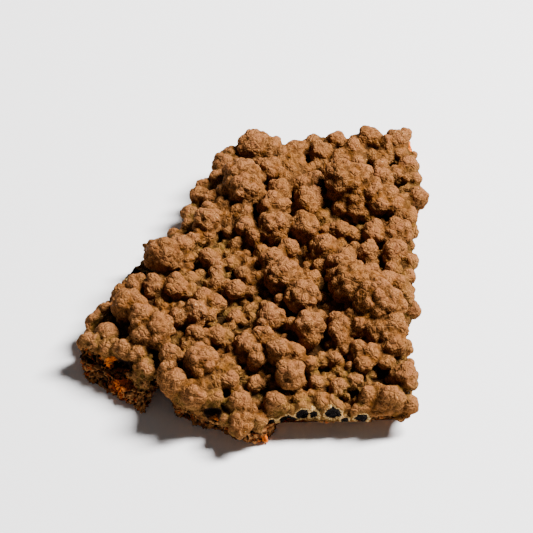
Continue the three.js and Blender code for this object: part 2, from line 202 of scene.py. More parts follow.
# %% [markdown]
# Both pieces start in the same way. The frame's solids are loose triangles, so a copy is merged first. Then
# a voxel remesh gives it an even skin: it keeps the form, joins what overlaps, and leaves no long thin
# faces, so that everything that follows can move its points freely.

# %% Helpers for meshes
def merged_copy(node, name):
    """A new object with the node's solid as one closed skin."""
    mesh = bpy.data.meshes.new(name)
    bm = bmesh.new()
    bm.from_mesh(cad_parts[node].data)
    bmesh.ops.remove_doubles(bm, verts=bm.verts, dist=0.002 * MM)
    bm.to_mesh(mesh)
    bm.free()
    piece = bpy.data.objects.new(name, mesh)
    bpy.context.scene.collection.objects.link(piece)
    return piece


def modified(piece, kind, **settings):
    """A modifier on the piece, with its settings."""
    modifier = piece.modifiers.new(kind.lower(), kind)
    for name, value in settings.items():
        setattr(modifier, name, value)
    return modifier


def settle(piece):
    """Replaces the piece's mesh by what its modifiers make of it."""
    depsgraph = bpy.context.evaluated_depsgraph_get()
    old = piece.data
    piece.data = bpy.data.meshes.new_from_object(piece.evaluated_get(depsgraph), depsgraph=depsgraph)
    piece.modifiers.clear()
    piece.data.name = piece.name
    bpy.data.meshes.remove(old)
    print(piece.name, "has", len(piece.data.vertices), "points and", len(piece.data.polygons), "faces")


def places(piece):
    """The piece's points, one row each."""
    flat = np.empty(len(piece.data.vertices) * 3, np.float32)
    piece.data.vertices.foreach_get("co", flat)
    return flat.reshape(-1, 3).astype(float)


def normals(piece):
    """The direction that each point faces, one row each."""
    flat = np.empty(len(piece.data.vertices) * 3, np.float32)
    piece.data.vertex_normals.foreach_get("vector", flat)
    return flat.reshape(-1, 3).astype(float)


def put(piece, points):
    """Moves the piece's points to new places."""
    piece.data.vertices.foreach_set("co", points.astype(np.float32).ravel())
    piece.data.update()


def paint(piece, name, values):
    """Keeps one value for each point, for the piece's material to read."""
    attribute = piece.data.attributes.new(name, "FLOAT", "POINT")
    attribute.data.foreach_set("value", values.astype(np.float32))


def step(values, start, full):
    """0 up to the start, 1 from full on, and a soft step between."""
    share = np.clip((values - start) / (full - start), 0, 1)
    return share * share * (3 - 2 * share)


def ripple(points, size, seed):
    """A smooth random value from about -1 to 1 for each point, whose waves are about one size across."""
    shift = Vector((seed * 17.3, seed * 5.1, seed * 9.7))
    return np.array([noise.noise(Vector(point) / size + shift) for point in points])


# %% [markdown]
# The breaks are where the slab parted from the rest of its vein. Each is a plane that leans back over a line
# on the resting plane, both in mm and degrees. Most of it is overgrown, and only some zones are open: on
# the front these are lumps cut in half, with a cream rim round a black core. A zone is an ellipse on the
# plane, given by its place along the line, its height, and its half width and half height.
#
# The zones are named here once and used for three things: to keep new lobes off, to flatten what crosses
# them, and to know which points are open when it comes to colour.

# %% Breaks and pockets
BREAKS = {
    "front": {
        "from": (34.84, -44.13),
        "to": (2.84, -44.83),
        "lean": 6,
        "hollow": 0.7,
        "zones": (
            (31.4, 4.6, 1.7, 1.9, "fibrous"),
            (27.2, 5.2, 2.6, 2.4, "fibrous"),
            (23.6, 7.4, 2.1, 2.5, "fibrous"),
            (20.9, 7.1, 1.5, 2.2, "fibrous"),
            (16.2, 7.6, 2.5, 2.5, "fibrous"),
            (13.2, 4.9, 1.4, 1.7, "fibrous"),
            (9.2, 5.7, 2.2, 2.0, "fibrous"),
            (3.4, 5.3, 2.0, 1.3, "crumbly"),
        ),
    },
    "left lobe": {
        "from": (-28.26, -37.83),
        "to": (-46.76, -25.53),
        "lean": 32,
        "hollow": 0.8,
        "zones": (
            (18.6, 4.8, 4.4, 3.0, "crumbly"),
            (12.0, 4.4, 4.0, 2.2, "crumbly"),
            (7.6, 4.4, 3.2, 2.3, "crumbly"),
        ),
    },
    "left edge": {
        "from": (-52.11, 0.42),
        "to": (-43.35, 13.83),
        "lean": 60,
        "hollow": 0.4,
        "zones": ((11.0, 8.8, 2.8, 1.7, "fibrous"), (5.1, 7.5, 3.2, 1.8, "crumbly")),
    },
    "back right corner": {
        "from": (45.4, 52.73),
        "to": (45.4, 36.73),
        "lean": 25,
        "hollow": 0.2,
        "zones": ((7.2, 6.8, 5.6, 3.6, "crumbly"),),
    },
}
POCKETS = {
    "left lobe": {"middle": (-34.86, -28.83, 6.6), "size": (7.2, 6.0, 7.0)},
    "open lump": {"middle": (-10.76, -43.43, 7.2), "size": (4.4, 4.8, 3.8)},
}
BREAK_REACH = 3.5 * MM
BEHIND_FREE = 1.0  # how far behind a break, in mm, a point may lie at no cost to its place in a zone
BEHIND_COST = 1.3
OUTSIDE = 9.0  # stands for a point that is far outside every zone


def on_break(points, name):
    """The points in a break's own terms: beyond its plane, along its line, and its outward direction."""
    line = BREAKS[name]
    start = np.array([*line["from"], 0.0]) * MM
    end = np.array([*line["to"], 0.0]) * MM
    along = (end - start) / np.linalg.norm(end - start)
    lean = math.radians(line["lean"])
    outward = np.array([-along[1], along[0], 0.0]) * math.cos(lean) + np.array([0, 0, math.sin(lean)])
    return (points - start) @ outward, (points - start) @ along, outward


def zone_reach(points, name, finish=None):
    """How near each point is to the middle of a break's zones, where 1 is the rim, and its depth inside."""
    beyond, along, _ = on_break(points, name)
    behind = BEHIND_COST * np.maximum(0, -beyond / MM - BEHIND_FREE)
    reach = np.full(len(points), OUTSIDE)
    depth = np.full(len(points), -OUTSIDE)
    for place, height, half_width, half_height, kind in BREAKS[name]["zones"]:
        if finish in (None, kind):
            upright = (points[:, 2] / MM - height) * half_width / half_height
            offset = np.sqrt((along / MM - place) ** 2 + upright**2 + behind**2)
            near = beyond > -BREAK_REACH
            reach = np.where(near, np.minimum(reach, offset / half_width), reach)
            depth = np.where(near, np.maximum(depth, half_width - offset), depth)
    return reach, depth


def pocket_reach(points, name):
    """Distance from a pocket's middle over its own half size: under 1 is inside."""
    hollow = POCKETS[name]
    offset = (points - np.array(hollow["middle"]) * MM) / (np.array(hollow["size"]) / 2 * MM)
    return np.linalg.norm(offset, axis=1)


# %% [markdown]
# To tell crests from creases, a surface is compared with an evened copy of itself, in which each point has
# moved to the mean of its neighbours some number of times: what stands above the copy is a crest, and what
# lies below it is a crease. Few rounds find small forms, and many find large ones.

# %% Crests and creases
def neighbour_means(values, ends, count):
    """The mean of each point's neighbours."""
    total = np.zeros_like(values)
    for axis in range(values.shape[1]):
        total[:, axis] += np.bincount(ends[:, 0], values[ends[:, 1], axis], len(values))
        total[:, axis] += np.bincount(ends[:, 1], values[ends[:, 0], axis], len(values))
    return total / count[:, None]


def edge_ends(piece):
    """The two ends of each edge, and how many neighbours each point has."""
    flat = np.empty(len(piece.data.edges) * 2, np.int32)
    piece.data.edges.foreach_get("vertices", flat)
    return flat.reshape(-1, 2), np.maximum(1, np.bincount(flat, minlength=len(piece.data.vertices)))


def standing_out(piece, rounds):
    """How far each point stands out from an evened copy of the piece, in metres."""
    points = places(piece)
    ends, count = edge_ends(piece)
    evened = points
    for _ in range(rounds):
        evened = neighbour_means(evened, ends, count)
    return ((points - evened) * normals(piece)).sum(axis=1)


# %% [markdown]
# The crust first gets an even skin, on which everything else grows. The small facets of the solid are
# smoothed away. A named boolean marks the part that grew, as against the open zones, the pockets and the
# underside.

# %% An even skin for the crust
SKIN_VOXEL = 0.5 * MM
SEAM_MARGIN = 0.6 * MM
seam_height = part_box("mottramite_crust")[0].z

crust = merged_copy("mottramite_crust", "crust_with_lobes")
modified(crust, "REMESH", mode="VOXEL", voxel_size=SKIN_VOXEL)
modified(crust, "SMOOTH", factor=0.5, iterations=3)
settle(crust)

skin_places = places(crust)
grown = skin_places[:, 2] > seam_height + SEAM_MARGIN
for name in BREAKS:
    grown &= zone_reach(skin_places, name)[0] > 1.05
for name in POCKETS:
    grown &= pocket_reach(skin_places, name) > 1.15
marker = crust.data.attributes.new("grown", "BOOLEAN", "POINT")
marker.data.foreach_set("value", grown)
paint(crust, "standing", standing_out(crust, 60))
print(round(100 * grown.mean()), "percent of the skin grew")

# %% [markdown]
# A botryoidal crust is made of balls, and what makes it look real is that each ball is truly round and meets
# its neighbours in a sharp crease. A remeshed copy of a faceted solid has neither. So the balls are found
# again: seeds are spread over the skin, and for each one the largest ball is sought that touches the skin
# there from inside. A k-d tree makes that quick. It starts too large, and shrinks until no point of the
# skin is inside it.

# %% Seeds on the skin
def seeds(piece, spacing, seed):
    """Places on the grown skin, at least one spacing apart, with each one's direction and standing."""
    tree = bpy.data.node_groups.new("seeds", "GeometryNodeTree")
    tree.interface.new_socket("Skin", in_out="INPUT", socket_type="NodeSocketGeometry")
    tree.interface.new_socket("Skin", in_out="OUTPUT", socket_type="NodeSocketGeometry")
    skin = add(tree, "NodeGroupInput").outputs[0]
    is_grown = add(tree, "GeometryNodeInputNamedAttribute", {"Name": "grown"}, data_type="BOOLEAN").outputs[0]
    spread = add(
        tree,
        "GeometryNodeDistributePointsOnFaces",
        {"Mesh": skin, "Selection": is_grown, "Distance Min": spacing, "Seed": seed},
        distribute_method="POISSON",
    )
    spread.inputs["Density Max"].default_value = 3 / spacing**2
    facing = add(
        tree,
        "GeometryNodeStoreNamedAttribute",
        {"Geometry": spread.outputs["Points"], "Name": "facing", "Value": spread.outputs["Normal"]},
        data_type="FLOAT_VECTOR",
    )
    corners = add(tree, "GeometryNodePointsToVertices", {0: facing.outputs[0]})
    add(tree, "NodeGroupOutput", {0: corners.outputs[0]})

    sown = bpy.data.objects.new("seeds", piece.data.copy())
    bpy.context.scene.collection.objects.link(sown)
    modified(sown, "NODES", node_group=tree)
    settle(sown)
    directions = np.empty(len(sown.data.vertices) * 3, np.float32)
    sown.data.attributes["facing"].data.foreach_get("vector", directions)
    standing = np.empty(len(sown.data.vertices), np.float32)
    sown.data.attributes["standing"].data.foreach_get("value", standing)
    result = places(sown), directions.reshape(-1, 3).astype(float), standing
    bpy.data.objects.remove(sown)
    return result


# %% [markdown]
# Points right beside a seed say little about the ball, because the skin isn't perfectly smooth, so they are
# passed over. The ball through the seed and one other point follows from the two places and the direction.
# A third of the skin's points are enough for the search.

# %% The largest ball inside the skin at each seed
LUMP_SPACING = 2.0 * MM
LUMP_LARGEST = 6.5 * MM
LUMP_SMALLEST = 1.1 * MM
PASSED_OVER = 1.4 * MM
SEARCH_ROUNDS = 12
NEAREST = 12  # points looked at in each round
NEAR_ENOUGH = 0.98


def inner_radii(piece, touches, directions):
    """The radius of the largest ball that touches the skin at each seed from inside."""
    skin_points = places(piece)[::3]
    tree = kdtree.KDTree(len(skin_points))
    for number, point in enumerate(skin_points):
        tree.insert(point, number)
    tree.balance()
    radii = np.full(len(touches), LUMP_LARGEST)
    for number, (touch, direction) in enumerate(zip(map(Vector, touches), map(Vector, directions))):
        for _ in range(SEARCH_ROUNDS):
            middle = touch - direction * radii[number]
            close = [point for point, _, _ in tree.find_n(middle, NEAREST)]
            found = [point for point in close if (point - touch).length > PASSED_OVER]
            if not found or (found[0] - middle).length > radii[number] * NEAR_ENOUGH:
                break
            offset = touch - found[0]
            radii[number] = offset.length_squared / (2 * max(1e-9, offset.dot(direction)))
    return radii


touches, directions, _ = seeds(crust, LUMP_SPACING, 2)
radii = inner_radii(crust, touches, directions)
smallest, middling, largest = (round(np.percentile(radii, share) / MM, 1) for share in (0, 50, 100))
print(len(radii), "balls, with radii from", smallest, "to", largest, "mm, and half under", middling, "mm")

# %% [markdown]
# The balls are put in place with geometry nodes: one sphere, placed on many points and scaled at each by an
# attribute. A bmesh gathers the points. There are three kinds. Lumps are the large balls just found. Lobes
# stand out from those lumps that are large enough to carry them, which step back a little to make room, and
# beads fill the low places between. The skin itself is drawn in, so that it closes the body behind the balls
# without showing between them.

# %% Balls and lobes
SKIN_DRAWN_IN = 0.5 * MM
LUMP_STRAY = 0.12 * MM
LOBES = {"spacing": 2.5 * MM, "smallest": 1.5 * MM, "largest": 2.4 * MM, "rise": 0.7 * MM, "on": 2.5 * MM}
LOBE_SHARE = 0.65  # the most that a lobe's radius is of its lump's
LUMP_ROOM = 0.4 * MM  # how far a lump that carries lobes steps back
BEADS = {"spacing": 2.1 * MM, "smallest": 1.0 * MM, "largest": 1.8 * MM, "rise": 1.1 * MM, "below": -0.4 * MM}

chance = np.random.default_rng(7)


def sphere_tree():
    """A geometry node tree that turns each point into a sphere of its own radius."""
    tree = bpy.data.node_groups.new("spheres", "GeometryNodeTree")
    tree.interface.new_socket("Points", in_out="INPUT", socket_type="NodeSocketGeometry")
    tree.interface.new_socket("Spheres", in_out="OUTPUT", socket_type="NodeSocketGeometry")
    points = add(tree, "NodeGroupInput").outputs[0]
    radius = add(tree, "GeometryNodeInputNamedAttribute", {"Name": "radius"}, data_type="FLOAT").outputs[0]
    sphere = add(tree, "GeometryNodeMeshIcoSphere", {"Radius": 1.0, "Subdivisions": 4})
    one_each = {"Points": points, "Instance": sphere.outputs[0], "Scale": radius}
    placed = add(tree, "GeometryNodeInstanceOnPoints", one_each)
    real = add(tree, "GeometryNodeRealizeInstances", {0: placed.outputs[0]})
    add(tree, "NodeGroupOutput", {0: real.outputs[0]})
    return tree


def spheres(name, middles, sizes):
    """A piece made of one sphere at each place, each with its own radius."""
    mesh = bpy.data.meshes.new(name)
    bm = bmesh.new()
    for middle in middles:
        bm.verts.new(middle)
    bm.to_mesh(mesh)
    bm.free()
    piece = bpy.data.objects.new(name, mesh)
    bpy.context.scene.collection.objects.link(piece)
    paint(piece, "radius", sizes)
    modified(piece, "NODES", node_group=sphere_tree())
    settle(piece)
    return piece


kept = radii > LUMP_SMALLEST
stray = chance.uniform(-1, 1, kept.sum()) * LUMP_STRAY
stray -= np.where(radii[kept] > LOBES["on"], LUMP_ROOM, 0)
lumps = spheres("lumps", touches[kept] - directions[kept] * (radii[kept] - stray)[:, None], radii[kept])

lobe_touches, lobe_directions, _ = seeds(crust, LOBES["spacing"], 5)
lobe_sizes = chance.uniform(LOBES["smallest"], LOBES["largest"], len(lobe_touches))
under_lobe = inner_radii(crust, lobe_touches, lobe_directions)
lobe_sizes = np.minimum(lobe_sizes, LOBE_SHARE * under_lobe)
carried = under_lobe > LOBES["on"]
depths = (lobe_sizes - LOBES["rise"])[:, None]
lobes = spheres("lobes", (lobe_touches - lobe_directions * depths)[carried], lobe_sizes[carried])

bead_touches, bead_directions, standing = seeds(crust, BEADS["spacing"], 8)
low = standing < BEADS["below"]
bead_sizes = chance.uniform(BEADS["smallest"], BEADS["largest"], low.sum())
depths = (bead_sizes - BEADS["rise"])[:, None]
beads = spheres("beads", bead_touches[low] - bead_directions[low] * depths, bead_sizes)
print(kept.sum(), "lumps,", carried.sum(), "lobes and", low.sum(), "beads")

over_seam = step(places(crust)[:, 2], seam_height + SEAM_MARGIN, seam_height + 4 * SEAM_MARGIN)
put(crust, places(crust) - normals(crust) * (over_seam * grown * SKIN_DRAWN_IN)[:, None])
bm = bmesh.new()
for piece in (crust, lumps, lobes, beads):
    bm.from_mesh(piece.data)
bm.to_mesh(crust.data)
bm.free()
for piece in (lumps, lobes, beads):
    bpy.data.objects.remove(piece)

# %% [markdown]
# Where a lobe crosses an open zone, its points are pressed back on to the break, a little hollowed towards
# the middle of the zone. This comes before the next remesh, which joins the spheres and the skin into one
# body and drops whatever was pressed flat. A light smoothing rounds the steps that the voxels leave.

# %% Press back the open zones and join the lobes
CRUST_VOXEL = 0.27 * MM


def pressed_back(points):
    """The points, with those that stand out over an open zone moved on to its hollow."""
    for name, line in BREAKS.items():
        beyond, _, outward = on_break(points, name)
        reach, _ = zone_reach(points, name)
        face = -line["hollow"] * MM * np.clip(1.2 - reach, 0, 1)
        share = 1 - step(reach, 1.0, 1.35)
        points = points - (np.maximum(0, beyond - face) * share)[:, None] * outward
    return points


put(crust, pressed_back(places(crust)))
modified(crust, "REMESH", mode="VOXEL", voxel_size=CRUST_VOXEL)
modified(crust, "SMOOTH", factor=0.4, iterations=1)

# %% [markdown]
# The skin has still finer relief. Two Displace modifiers make it. The first uses Voronoi cells by squared
# distance, which gives low domes with a crease between them, between 1 and 2 mm across. The second adds a
# soft unevenness, so that no two domes are alike. At last a Decimate brings the face count down, which takes
# faces from where the surface is smooth.

# %% Low domes and unevenness
DOME_SIZE = 1.4 * MM
DOME_HEIGHT = 0.5 * MM
SWELL_SIZE = 1.1 * MM
SWELL_HEIGHT = 0.2 * MM
CRUST_TRIANGLES = 192000

cells = bpy.data.textures.new("dome cells", "VORONOI")
cells.noise_scale = DOME_SIZE
cells.distance_metric = "DISTANCE_SQUARED"
modified(crust, "DISPLACE", texture=cells, texture_coords="LOCAL", strength=-DOME_HEIGHT, mid_level=0.25)
swells = bpy.data.textures.new("soft swells", "CLOUDS")
swells.noise_scale = SWELL_SIZE
swells.noise_depth = 1
modified(crust, "DISPLACE", texture=swells, texture_coords="LOCAL", strength=SWELL_HEIGHT, mid_level=0.5)
settle(crust)
modified(crust, "DECIMATE", ratio=min(1.0, CRUST_TRIANGLES / (2 * len(crust.data.polygons))))
settle(crust)

# %% [markdown]
# The open zones are rough. Crumbs are what is left where the crust parted through rusty, porous rock, and
# fibres end in small steps. Both are made here by moving the points in each zone in and out with noise: in
# deep pits for crumbs, and shallow ones for fibres. The foot of the crust is crumbly all round, which hides
# the seam above the rock, and along the front its lower lip rises and falls, as a broken edge does.

# %% Roughen the open zones
CRUMB_PITS = 1.3 * MM
CRUMB_SIZE = 1.25 * MM
FIBRE_STEPS = 0.45 * MM
FIBRE_SIZE = 0.7 * MM
LIP_RISE = 1.2 * MM
LIP_WAVE = 4.5 * MM


def pits(points, size, seed):
    """0 on crumbs and up to 1 in the gaps between them, for each point. Crumbs are about one size across."""
    shift = Vector((seed * 17.3, seed * 5.1, seed * 9.7))
    gaps = np.empty(len(points))
    for number, point in enumerate(points):
        nearest = noise.voronoi(Vector(point) / size + shift)[0]
        gaps[number] = nearest[1] - nearest[0]
    return 1 - step(gaps, 0.04, 0.24)


def zone_depth(points, finish):
    """How far inside the zones of one finish each point lies, in mm, and below 0 outside."""
    return np.max([zone_reach(points, name, finish)[1] for name in BREAKS], axis=0)


def foot_share(points, facing):
    """1 on the upright foot of the crust, just above the seam, with a ragged upper edge."""
    upright = step(np.hypot(facing[:, 0], facing[:, 1]), 0.2, 0.6)
    height = points[:, 2] + ripple(points, 3 * MM, 6) * MM
    return (1 - step(height, seam_height + 0.5 * MM, seam_height + 1.5 * MM)) * upright


def lip_rise(points):
    """How far the lower lip at the front rises at each point."""
    waves = np.clip(0.5 + 1.5 * ripple(points * (1, 1, 0), LIP_WAVE, 11), 0, 1)
    at_front = step(-points[:, 1], 37 * MM, 43 * MM) * step(points[:, 0], 1 * MM, 5 * MM)
    near_seam = 1 - step(points[:, 2], seam_height, seam_height + 2 * LIP_RISE)
    return LIP_RISE * waves * at_front * near_seam


crust_places = places(crust)
facing = normals(crust)
fibrous_depth = zone_depth(crust_places, "fibrous")
foot = foot_share(crust_places, facing) * (1 - step(fibrous_depth, -1.0, 0.0))
crumbly = np.maximum(step(zone_depth(crust_places, "crumbly"), -0.2, 0.4), foot)
fibrous = step(fibrous_depth, -0.1, 0.1)
rough = np.flatnonzero((crumbly > 0) | (fibrous > 0))
pitted = np.zeros(len(crust_places))
pitted[rough] = pits(crust_places[rough], CRUMB_SIZE, 3)
fine_pitted = np.zeros(len(crust_places))
fine_pitted[rough] = pits(crust_places[rough], FIBRE_SIZE, 5)
inwards = crumbly * pitted * CRUMB_PITS + fibrous * step(fibrous_depth, 0.5, 1.0) * fine_pitted * FIBRE_STEPS
crust_places = crust_places - facing * inwards[:, None]
crust_places[:, 2] += lip_rise(crust_places)
crust_places[:, 2] = np.maximum(crust_places[:, 2], seam_height)
put(crust, crust_places)
print(len(rough), "points in open zones")

# %% [markdown]
# What colour a point has depends on where it is on the form. Dust, with a painted top light, lies on lobes
# that stand out and face up, a painted highlight lightens the crests, and painted shade is darkest deep in a
# crease or a gap. The same comparison with an evened copy gives all of these: evening a little finds the
# domes and creases, and evening more the lumps and gaps. Each value is painted on the points as an attribute,
# which a material can read.

# %% Dust and top light, crease shade, crest highlights and gap shade
crease_relief = standing_out(crust, 4)
lobe_relief = standing_out(crust, 25)
lump_relief = standing_out(crust, 110)
facing_up = normals(crust)[:, 2]
reliefs = (crease_relief, lobe_relief, lump_relief)
print("standing out:", [round(relief.std() / MM, 2) for relief in reliefs], "mm")

# dust together with a painted top light: lighter where lobes stand out and face up
dust_and_top_light = step(lobe_relief, 0, 0.6 * MM) * step(lump_relief, -0.4 * MM, 1.6 * MM) * step(facing_up, 0, 0.95)
# painted shade in the creases and gaps, and a painted highlight on the crests
crease_shade = step(-crease_relief, 0, 0.12 * MM)
gap_shade = np.maximum(step(-lobe_relief, 0.3 * MM, 1.0 * MM), step(-lump_relief, 0.5 * MM, 1.8 * MM))
crest_highlight = step(crease_relief, 0.02 * MM, 0.14 * MM) * step(lobe_relief, -0.2 * MM, 0.3 * MM)
for name, values in {"dust_and_top_light": dust_and_top_light, "crease_shade": crease_shade, "crest_highlight": crest_highlight, "gap_shade": gap_shade}.items():
    paint(crust, name, values)
    print(name, "covers", round(100 * (values > 0.5).mean()), "percent")

# %% [markdown]
# Fresh rust shows in a few spots, each given by its middle and its reach in mm. What is inside a pocket, in
# a crumbly zone or in a core is painted on the points too, with how deep in the core each point is.

# %% Rust, pockets and cores
RUST_SPOTS = {
    "pocket wall": ((-37.0, -27.2, 7.0), 2.8),
    "low in the pocket": ((-32.9, -29.8, 6.4), 2.2),
    "under the pocket": ((-34.0, -31.5, 4.0), 3.3),
    "far lobe": ((-42.0, -26.3, 4.0), 1.8),
    "open lump": ((-10.6, -44.0, 6.4), 1.7),
    "left edge": ((-37.5, -3.0, 7.6), 4.2),
    "back right corner": ((42.2, 45.4, 6.6), 9.0),
}


def rust_share(points, spots):
    """How rusty each point is, from 0 to 1, by its distance from the spots where rust shows."""
    share = np.zeros(len(points))
    for middle, reach in spots:
        distance = np.linalg.norm(points - np.array(middle) * MM, axis=1)
        share = np.maximum(share, 1 - step(distance, 0.5 * reach * MM, reach * MM))
    return share


in_pocket = np.zeros(len(crust_places))
for name in POCKETS:
    in_pocket = np.maximum(in_pocket, 1 - step(pocket_reach(crust_places, name), 1.0, 1.25))
paint(crust, "pocket", in_pocket)
# lower in the pits, where the material paints shade
paint(crust, "crumbly", crumbly * (0.35 + 0.65 * (1 - pitted)))
paint(crust, "crumb_zone", crumbly)
paint(crust, "core_depth", np.clip(fibrous_depth, -3, 3))
paint(crust, "rust", rust_share(crust_places, RUST_SPOTS.values()))

# %% [markdown]
# In a core the fibres run outwards from its middle. The direction from the middle to each point, kept as a
# vector, gives the material something to stretch its noise along.

# %% Fibre directions
rays = np.zeros((len(crust_places), 3))
nearest_core = np.full(len(crust_places), OUTSIDE)
for name in BREAKS:
    beyond, along, _ = on_break(crust_places, name)
    for place, height, half_width, half_height, kind in BREAKS[name]["zones"]:
        across = along / MM - place
        upwards = crust_places[:, 2] / MM - height
        offset = np.hypot(across, upwards * half_width / half_height)
        closer = (kind == "fibrous") & (offset / half_width < nearest_core) & (beyond > -BREAK_REACH)
        nearest_core = np.where(closer, offset / half_width, nearest_core)
        ray = np.stack([across, upwards, 0.15 * offset], axis=1) / (np.hypot(across, upwards) + 0.05)[:, None]
        rays = np.where(closer[:, None], ray, rays)
direction = crust.data.attributes.new("ray", "FLOAT_VECTOR", "POINT")
direction.data.foreach_set("vector", rays.astype(np.float32).ravel())

# %% [markdown]
# Grain is shared by the crust and the rock under it, so it is a node group: fine specks to vary the colour,
# and a height for the bump. It gives only values, and each material uses them in its own way.

# %% The grain group
def grain_group():
    """Specks and fine relief for a granular mineral surface."""
    tree = bpy.data.node_groups.new("mineral grain", "ShaderNodeTree")
    tree.interface.new_socket("Place", in_out="INPUT", socket_type="NodeSocketVector")
    tree.interface.new_socket("Grains per metre", in_out="INPUT", socket_type="NodeSocketFloat")
    tree.interface.new_socket("Specks", in_out="OUTPUT", socket_type="NodeSocketFloat")
    tree.interface.new_socket("Height", in_out="OUTPUT", socket_type="NodeSocketFloat")
    start = add(tree, "NodeGroupInput")
    cell = add(tree, "ShaderNodeTexVoronoi", {"Vector": start.outputs[0], "Scale": start.outputs[1]})
    fine = {"Vector": start.outputs[0], "Scale": start.outputs[1], "Detail": 4.0}
    powder = add(tree, "ShaderNodeTexNoise", fine)
    dome = figured(tree, "SUBTRACT", 1.0, cell.outputs["Distance"])
    height = figured(tree, "ADD", dome, powder.outputs[0])
    add(tree, "NodeGroupOutput", {0: powder.outputs[0], 1: height})
    return tree


mineral_grain = grain_group()


def grained(tree, place, size):
    """The grain group in a material, with grains of about one size."""
    inputs = {"Place": place, "Grains per metre": 1 / size}
    return add(tree, "ShaderNodeGroup", inputs, node_tree=mineral_grain)


# %% [markdown]
# Crumbly rock is the other shared effect: each crumb has a colour of its own, from brown to tan, some are
# rusty red, and fresh rust is bright orange powder. How fresh it is differs from place to place, so that is
# an input of the group. Painted shade darkens the edges between the crumbs.

# %% The crumb group
CRUMB_ACROSS = 0.9 * MM


def crumb_group():
    """The colours of crumbly, rusty rock, with painted shade between the crumbs."""
    tree = bpy.data.node_groups.new("crumbly rock", "ShaderNodeTree")
    tree.interface.new_socket("Place", in_out="INPUT", socket_type="NodeSocketVector")
    tree.interface.new_socket("Fresh rust", in_out="INPUT", socket_type="NodeSocketFloat")
    tree.interface.new_socket("Color", in_out="OUTPUT", socket_type="NodeSocketColor")
    start = add(tree, "NodeGroupInput")
    place = start.outputs[0]
    cell = add(tree, "ShaderNodeTexVoronoi", {"Vector": place, "Scale": 1 / CRUMB_ACROSS})
    lot = add(tree, "ShaderNodeSeparateColor", {0: cell.outputs["Color"]})
    browns = blended(tree, lot.outputs[0], tint(110, 64, 30), tint(186, 128, 72))
    red = mask(tree, lot.outputs[1], 0.78, 0.86)
    reddish = blended(tree, red, browns, tint(150, 66, 18))
    powder = mask(tree, mottled(tree, place, 1.0 * MM, 3.0), 0.3, 0.5)
    fresh = times(tree, start.outputs[1], powder)
    orange = blended(tree, mottled(tree, place, 0.6 * MM, 3.0), tint(204, 74, 4), tint(240, 132, 16))
    rusty = blended(tree, fresh, reddish, orange)
    # painted shade: darker towards the edges between the crumbs
    crumb_edge_shade = mask(tree, cell.outputs["Distance"], 0.55, 0.75)
    with_crumb_edge_shade = blended(tree, times(tree, crumb_edge_shade, 0.7), rusty, tint(26, 15, 9))
    add(tree, "NodeGroupOutput", {0: with_crumb_edge_shade})
    return tree


crumbly_rock = crumb_group()


def crumbs(tree, place, fresh_rust):
    """The crumb group in a material."""
    group = add(tree, "ShaderNodeGroup", {"Place": place, "Fresh rust": fresh_rust}, node_tree=crumbly_rock)
    return group.outputs[0]


# %% [markdown]
# The crust's material follows the form. The grown skin goes from orange-brown to umber in soft patches, is
# olive where it lies low, pale with dust and a painted top light on the tops, and nearly black with painted
# shade in the gaps. A net of thin lines of painted shade, with rims of painted highlight, parts it into
# nodules too small to model, and the same net goes into the bump.

# %% The grown skin
NODULE_SIZE = 1.5 * MM


def edge_distance(tree, place, size):
    """The distance to the nearest edge between cells about one size across, bent by noise. The size is 1."""
    bend = add(tree, "ShaderNodeTexNoise", {"Vector": place, "Scale": 0.7 / size, "Detail": 2.0})
    offset = {0: bend.outputs["Color"], 1: (0.8 * size,) * 3, 2: place}
    pushed = add(tree, "ShaderNodeVectorMath", offset, operation="MULTIPLY_ADD")
    cells_here = {"Vector": pushed.outputs[0], "Scale": 1 / size}
    return add(tree, "ShaderNodeTexVoronoi", cells_here, feature="DISTANCE_TO_EDGE").outputs["Distance"]


def skin_base(tree, place):
    """Browns in patches, olive low down, dust and a painted top light on the tops, a painted highlight on the
    crests.
    """
    height = add(tree, "ShaderNodeSeparateXYZ", {0: place}).outputs["Z"]
    patches = mask(tree, mottled(tree, place, 6 * MM, 3.0), 0.35, 0.65)
    browns = blended(tree, patches, tint(104, 61, 20), tint(82, 46, 15))
    olive_places = mask(tree, mottled(tree, place, 8 * MM), 0.38, 0.6)
    low = times(tree, mask(tree, height, 15 * MM, 9 * MM), olive_places)
    olive = blended(tree, times(tree, low, 0.85), browns, tint(90, 70, 26))
    # dust and a painted top light, on lobes that stand out and face up
    dust_and_top_light_share = times(tree, painted(tree, "dust_and_top_light"), mask(tree, mottled(tree, place, 9 * MM), 0.25, 0.55))
    with_dust_and_top_light = blended(tree, dust_and_top_light_share, olive, tint(118, 73, 45))
    # painted highlight: a lighter tone on the crests
    return blended(tree, times(tree, painted(tree, "crest_highlight"), 0.35), with_dust_and_top_light, tint(136, 88, 48))


